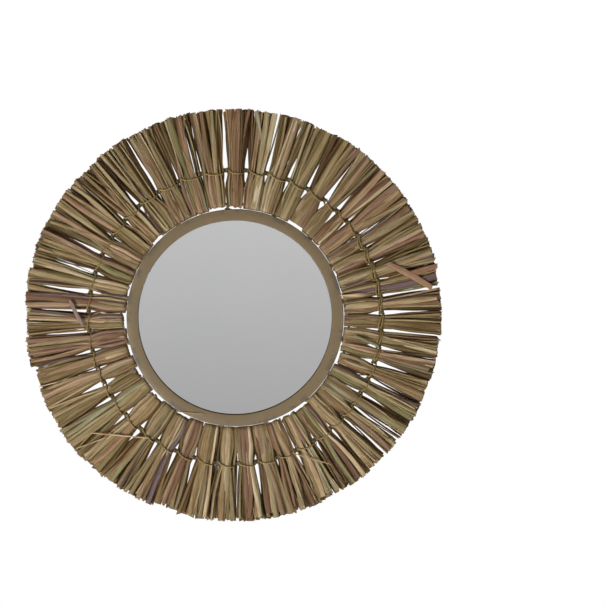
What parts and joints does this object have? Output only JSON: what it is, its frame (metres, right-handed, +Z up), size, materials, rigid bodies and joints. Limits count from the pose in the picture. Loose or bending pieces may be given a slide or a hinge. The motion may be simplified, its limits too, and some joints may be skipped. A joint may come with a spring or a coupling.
{
  "type": "wall mirror",
  "caption": "Round wall mirror in a narrow painted steel frame, ringed by a wreath of dried leaf bundles that are folded over a wire and tied with twine, with a keyhole hanger plate behind.",
  "frame": {"origin": "on the wall face of the hanger plate, on the metal just above the keyhole's slot, where the mirror meets its screw", "axes": "+Z up, +Y into the wall, so the glass faces -Y; +X to the right as seen from the front"},
  "size_m": [0.3843, 0.0197, 0.3795],
  "materials": {
    "taupe_paint": "satin powder coat, taupe",
    "silvered_glass": "polished silvered glass",
    "hardboard": "smooth side of brown hardboard, matt",
    "dried_leaf": "dry veined leaf strips, khaki, straw and reddish brown, matt",
    "olive_twine": "twisted plant fibre twine, olive brown"
  },
  "bodies": {
    "root": {"frame": "taupe_paint", "mirror_glass": "silvered_glass", "back_board": "hardboard", "hanger_plate": "taupe_paint", "leaf_wire": "taupe_paint", "twine": "olive_twine", "bundle_01": "dried_leaf", "bundle_02": "dried_leaf", "bundle_03": "dried_leaf", "bundle_04": "dried_leaf", "bundle_05": "dried_leaf", "bundle_06": "dried_leaf", "bundle_07": "dried_leaf", "bundle_08": "dried_leaf", "bundle_09": "dried_leaf", "bundle_10": "dried_leaf", "bundle_11": "dried_leaf", "bundle_12": "dried_leaf", "bundle_13": "dried_leaf", "bundle_14": "dried_leaf", "bundle_15": "dried_leaf", "bundle_16": "dried_leaf", "bundle_17": "dried_leaf", "bundle_18": "dried_leaf", "bundle_19": "dried_leaf", "bundle_20": "dried_leaf", "bundle_21": "dried_leaf", "bundle_22": "dried_leaf", "bundle_23": "dried_leaf", "bundle_24": "dried_leaf", "bundle_25": "dried_leaf", "bundle_26": "dried_leaf", "bundle_27": "dried_leaf", "bundle_28": "dried_leaf", "bundle_29": "dried_leaf", "bundle_30": "dried_leaf", "bundle_31": "dried_leaf", "bundle_32": "dried_leaf", "bundle_33": "dried_leaf", "bundle_34": "dried_leaf", "bundle_35": "dried_leaf", "bundle_36": "dried_leaf", "bundle_37": "dried_leaf", "bundle_38": "dried_leaf", "bundle_39": "dried_leaf", "bundle_40": "dried_leaf", "bundle_41": "dried_leaf", "bundle_42": "dried_leaf", "bundle_43": "dried_leaf", "bundle_44": "dried_leaf", "bundle_45": "dried_leaf", "bundle_46": "dried_leaf", "bundle_47": "dried_leaf", "bundle_48": "dried_leaf"}
  },
  "joints": []
}
